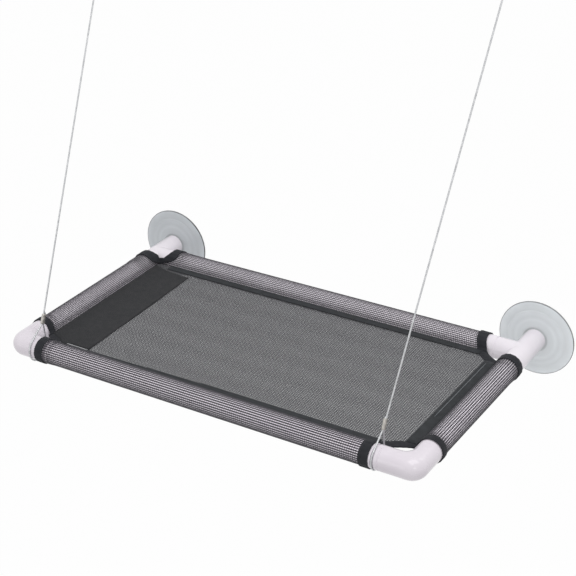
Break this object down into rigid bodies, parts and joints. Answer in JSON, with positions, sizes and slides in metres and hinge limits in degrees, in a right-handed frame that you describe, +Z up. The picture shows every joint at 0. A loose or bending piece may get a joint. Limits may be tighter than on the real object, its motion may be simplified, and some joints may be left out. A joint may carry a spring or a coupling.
{
  "type": "cat window hammock",
  "caption": "Window hammock for a cat: plastic tube frame with a stretched mesh bed, held on the glass by suction cups and steel cables.",
  "frame": {"origin": "on the glass, at the centre of the lower left suction cup", "axes": "+X to the right along the window as seen from the room, +Y into the glass, +Z up"},
  "size_m": [0.614, 0.3283, 0.719],
  "materials": {
    "white_pvc": "smooth",
    "white_plastic": "satin",
    "clear_vinyl": "translucent",
    "grey_mesh": "open weave",
    "black_tape": "woven",
    "steel_wire": "stranded",
    "ferrule_metal": "crimped"
  },
  "bodies": {
    "frame": {"front_tube": "white_pvc", "rear_tube": "white_pvc", "left_tube": "white_pvc", "right_tube": "white_pvc", "left_elbow": "white_pvc", "right_elbow": "white_pvc", "left_tee": "white_pvc", "right_tee": "white_pvc", "left_stub_plug": "white_plastic", "right_stub_plug": "white_plastic", "lower_left_cup": "clear_vinyl", "lower_right_cup": "clear_vinyl", "mesh_bed": "grey_mesh", "front_sleeve": "grey_mesh", "rear_sleeve": "grey_mesh", "left_sleeve": "grey_mesh", "right_sleeve": "grey_mesh", "left_band": "black_tape", "front_tape": "black_tape", "rear_tape": "black_tape", "right_tape": "black_tape", "front_left_binding": "black_tape", "front_right_binding": "black_tape", "rear_left_binding": "black_tape", "rear_right_binding": "black_tape"},
    "left_cable_line": {"left_cable": "steel_wire", "left_lower_ferrule": "ferrule_metal", "left_upper_ferrule": "ferrule_metal"},
    "right_cable_line": {"right_cable": "steel_wire", "right_lower_ferrule": "ferrule_metal", "right_upper_ferrule": "ferrule_metal"},
    "upper_left_anchor": {"upper_left_cup": "clear_vinyl", "upper_left_knob": "white_plastic"},
    "upper_right_anchor": {"upper_right_cup": "clear_vinyl", "upper_right_knob": "white_plastic"}
  },
  "joints": [
    {"name": "left_cable_swing", "type": "hinge", "parent": "frame", "child": "left_cable_line", "pos_m": [0.0225, -0.312, 0], "axis": [1, 0, 0], "range_deg": [0, 204]},
    {"name": "right_cable_swing", "type": "hinge", "parent": "frame", "child": "right_cable_line", "pos_m": [0.4775, -0.312, 0], "axis": [1, 0, 0], "range_deg": [0, 204]},
    {"name": "upper_left_cup_turn", "type": "hinge", "parent": "left_cable_line", "child": "upper_left_anchor", "pos_m": [0.002, -0.028, 0.625], "axis": [0, 1, 0], "continuous": true},
    {"name": "upper_right_cup_turn", "type": "hinge", "parent": "right_cable_line", "child": "upper_right_anchor", "pos_m": [0.518, -0.028, 0.625], "axis": [0, 1, 0], "continuous": true}
  ]
}
